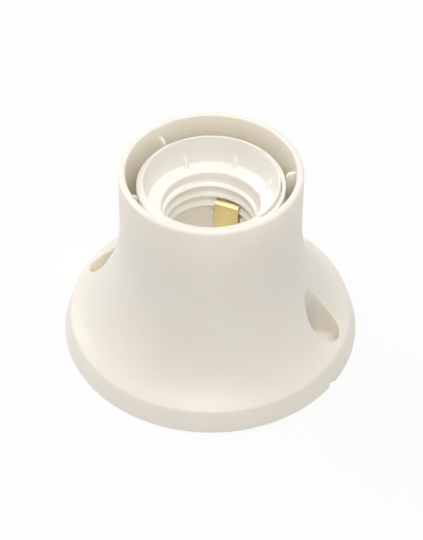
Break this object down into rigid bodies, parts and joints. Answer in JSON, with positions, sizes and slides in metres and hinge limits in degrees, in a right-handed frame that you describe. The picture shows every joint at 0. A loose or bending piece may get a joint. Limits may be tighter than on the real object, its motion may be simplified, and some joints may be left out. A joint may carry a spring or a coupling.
{
  "type": "ceiling lampholder",
  "caption": "Plastic ceiling lampholder with a flared round base, screw wells, a threaded core for an E27 lamp cap, spring contacts and rear wire terminals.",
  "frame": {"origin": "centre of the foot's flat face, on the ceiling plane", "axes": "+Z out of the ceiling towards the lamp, +X through the right screw well"},
  "size_m": [0.0852, 0.0852, 0.0585],
  "materials": {
    "ivory_plastic": "moulded, semi-gloss ivory",
    "white_plastic": "moulded, semi-gloss white",
    "grey_plastic": "moulded, matt pale grey",
    "brass": "rolled and blanked strip",
    "zinc_steel": "zinc plated"
  },
  "bodies": {
    "holder": {"housing": "ivory_plastic", "threaded_core": "white_plastic", "contact_base": "grey_plastic", "centre_contact": "brass", "side_contact": "brass", "centre_eyelet": "brass", "side_eyelet": "brass", "centre_nut": "brass", "side_nut": "brass", "left_core_screw": "zinc_steel", "right_core_screw": "zinc_steel"},
    "centre_clamp": {"centre_clamp_plate": "zinc_steel"},
    "centre_screw": {"centre_terminal_screw": "zinc_steel"},
    "side_clamp": {"side_clamp_plate": "zinc_steel"},
    "side_screw": {"side_terminal_screw": "zinc_steel"}
  },
  "joints": [
    {"name": "centre_clamp_slide", "type": "slide", "parent": "holder", "child": "centre_clamp", "axis": [0, 0, -1], "range_m": [0, 0.0024]},
    {"name": "centre_screw_turn", "type": "hinge", "parent": "centre_clamp", "child": "centre_screw", "pos_m": [-0.0004, -0.00759, 0.014], "axis": [0, 0, -1], "range_deg": [0, 1440]},
    {"name": "side_clamp_slide", "type": "slide", "parent": "holder", "child": "side_clamp", "axis": [0, 0, -1], "range_m": [0, 0.0024]},
    {"name": "side_screw_turn", "type": "hinge", "parent": "side_clamp", "child": "side_screw", "pos_m": [0.0004, 0.00759, 0.014], "axis": [0, 0, -1], "range_deg": [0, 1440]}
  ],
  "couplings": [
    {"joint": "centre_screw_turn", "follows": "centre_clamp_slide", "rad_per_m": 10472},
    {"joint": "side_screw_turn", "follows": "side_clamp_slide", "rad_per_m": 10472}
  ]
}
